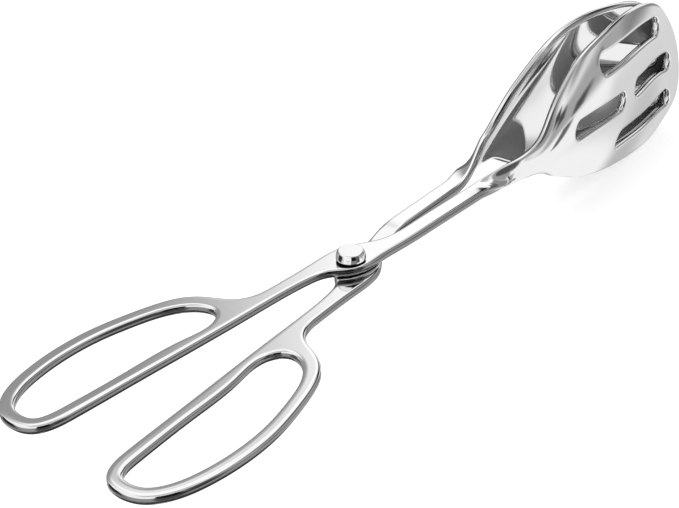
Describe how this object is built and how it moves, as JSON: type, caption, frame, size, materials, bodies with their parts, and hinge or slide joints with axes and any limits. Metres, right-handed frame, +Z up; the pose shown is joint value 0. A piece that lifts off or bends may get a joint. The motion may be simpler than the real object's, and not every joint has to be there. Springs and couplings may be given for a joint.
{
  "type": "scissor serving tongs",
  "caption": "Scissor serving tongs in polished sheet steel: crossed arms on a rivet, finger loops at the back, cupped leaf-shaped heads ahead, one slotted and one plain.",
  "frame": {"origin": "centre of the flat top of the rivet's head", "axes": "+Y from the pivot towards the tips of the heads, +Z up along the rivet's axis, out of the slotted arm, +X towards the slotted head's side"},
  "size_m": [0.0704, 0.2995, 0.0593],
  "materials": {
    "slotted_arm_steel": "mirror-polished stainless steel",
    "solid_arm_steel": "mirror-polished stainless steel",
    "rivet_steel": "turned and polished stainless steel"
  },
  "bodies": {
    "slotted_half": {"slotted_arm": "slotted_arm_steel", "pivot_rivet": "rivet_steel"},
    "solid_half": {"solid_arm": "solid_arm_steel"}
  },
  "joints": [
    {"name": "pivot", "type": "hinge", "parent": "slotted_half", "child": "solid_half", "pos_m": [0, 0, -0.00605], "axis": [0, 0, 1], "range_deg": [0, 55]}
  ]
}
